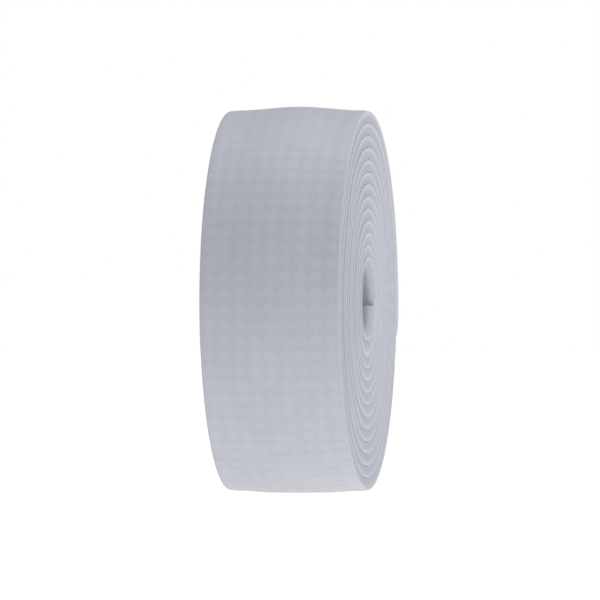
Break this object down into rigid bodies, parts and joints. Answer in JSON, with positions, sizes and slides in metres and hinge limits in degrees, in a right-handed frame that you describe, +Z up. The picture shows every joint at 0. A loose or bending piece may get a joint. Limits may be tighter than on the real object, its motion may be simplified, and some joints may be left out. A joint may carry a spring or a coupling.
{
  "type": "grip tape roll",
  "caption": "Roll of white cushioned grip tape: an embossed foam strip wound on itself around an open centre, with a loose outer end that peels off.",
  "frame": {"origin": "middle of the footprint that the roll stands on, half way along its width and half way between its -Y and +Y extremes", "axes": "+X along the roll's axis, towards the end from which the strip winds outward clockwise; +Y towards the side where the loose outer end lies; +Z up"},
  "size_m": [0.03, 0.0846, 0.0828],
  "materials": {
    "foam": "matte, fine open pores on the cut edges",
    "skin": "soft satin white polyurethane film, embossed with small diamonds",
    "adhesive": "clear tacky film",
    "liner": "smooth silicone-coated release paper"
  },
  "bodies": {
    "roll": {"foam_turn_1": "foam", "foam_turn_2": "foam", "foam_turn_3": "foam", "foam_turn_4": "foam", "foam_turn_5": "foam", "foam_turn_6": "foam", "foam_turn_7": "foam", "foam_turn_8": "foam", "foam_turn_9": "foam", "foam_turn_10": "foam", "foam_turn_11": "foam", "foam_turn_12": "foam", "foam_turn_13": "foam", "skin_inner_turns": "skin", "skin_outer_turn": "skin", "adhesive_wound": "adhesive", "liner_wound": "liner"},
    "tail_1": {"foam_tail_1": "foam", "skin_tail_1": "skin", "adhesive_tail_1": "adhesive", "liner_tail_1": "liner"},
    "tail_2": {"foam_tail_2": "foam", "skin_tail_2": "skin", "adhesive_tail_2": "adhesive", "liner_tail_2": "liner"},
    "tail_3": {"foam_tail_3": "foam", "skin_tail_3": "skin", "adhesive_tail_3": "adhesive", "liner_tail_3": "liner"},
    "tail_4": {"foam_tail_4": "foam", "skin_tail_4": "skin", "adhesive_tail_4": "adhesive", "liner_tail_4": "liner"},
    "tail_5": {"foam_tail_5": "foam", "skin_tail_5": "skin", "adhesive_tail_5": "adhesive", "liner_tail_5": "liner"},
    "tail_6": {"foam_tail_6": "foam", "skin_tail_6": "skin", "adhesive_tail_6": "adhesive", "liner_tail_6": "liner"},
    "tail_7": {"foam_tail_7": "foam", "skin_tail_7": "skin", "adhesive_tail_7": "adhesive", "liner_tail_7": "liner"},
    "tail_8": {"foam_tail_8": "foam", "skin_tail_8": "skin", "adhesive_tail_8": "adhesive", "liner_tail_8": "liner"},
    "tail_9": {"foam_tail_9": "foam", "skin_tail_9": "skin", "adhesive_tail_9": "adhesive", "liner_tail_9": "liner"}
  },
  "joints": [
    {"name": "tail_peel_1", "type": "hinge", "parent": "roll", "child": "tail_1", "pos_m": [0, 0.0073, 0.08212], "axis": [1, 0, 0], "range_deg": [0, 13.4]},
    {"name": "tail_peel_2", "type": "hinge", "parent": "tail_1", "child": "tail_2", "pos_m": [0, 0.01441, 0.08021], "axis": [1, 0, 0], "range_deg": [0, 13.4]},
    {"name": "tail_peel_3", "type": "hinge", "parent": "tail_2", "child": "tail_3", "pos_m": [0, 0.02109, 0.0771], "axis": [1, 0, 0], "range_deg": [0, 13.4]},
    {"name": "tail_peel_4", "type": "hinge", "parent": "tail_3", "child": "tail_4", "pos_m": [0, 0.02712, 0.07287], "axis": [1, 0, 0], "range_deg": [0, 13.4]},
    {"name": "tail_peel_5", "type": "hinge", "parent": "tail_4", "child": "tail_5", "pos_m": [0, 0.03233, 0.06767], "axis": [1, 0, 0], "range_deg": [0, 13.4]},
    {"name": "tail_peel_6", "type": "hinge", "parent": "tail_5", "child": "tail_6", "pos_m": [0, 0.03655, 0.06163], "axis": [1, 0, 0], "range_deg": [0, 13.4]},
    {"name": "tail_peel_7", "type": "hinge", "parent": "tail_6", "child": "tail_7", "pos_m": [0, 0.03967, 0.05496], "axis": [1, 0, 0], "range_deg": [0, 13.4]},
    {"name": "tail_peel_8", "type": "hinge", "parent": "tail_7", "child": "tail_8", "pos_m": [0, 0.04159, 0.04785], "axis": [1, 0, 0], "range_deg": [0, 13.4]},
    {"name": "tail_peel_9", "type": "hinge", "parent": "tail_8", "child": "tail_9", "pos_m": [0, 0.04228, 0.04052], "axis": [1, 0, 0], "range_deg": [0, 13.4]}
  ],
  "couplings": [
    {"joint": "tail_peel_2", "follows": "tail_peel_1", "ratio": 1},
    {"joint": "tail_peel_3", "follows": "tail_peel_1", "ratio": 1},
    {"joint": "tail_peel_4", "follows": "tail_peel_1", "ratio": 1},
    {"joint": "tail_peel_5", "follows": "tail_peel_1", "ratio": 1},
    {"joint": "tail_peel_6", "follows": "tail_peel_1", "ratio": 1},
    {"joint": "tail_peel_7", "follows": "tail_peel_1", "ratio": 1},
    {"joint": "tail_peel_8", "follows": "tail_peel_1", "ratio": 1},
    {"joint": "tail_peel_9", "follows": "tail_peel_1", "ratio": 1}
  ]
}
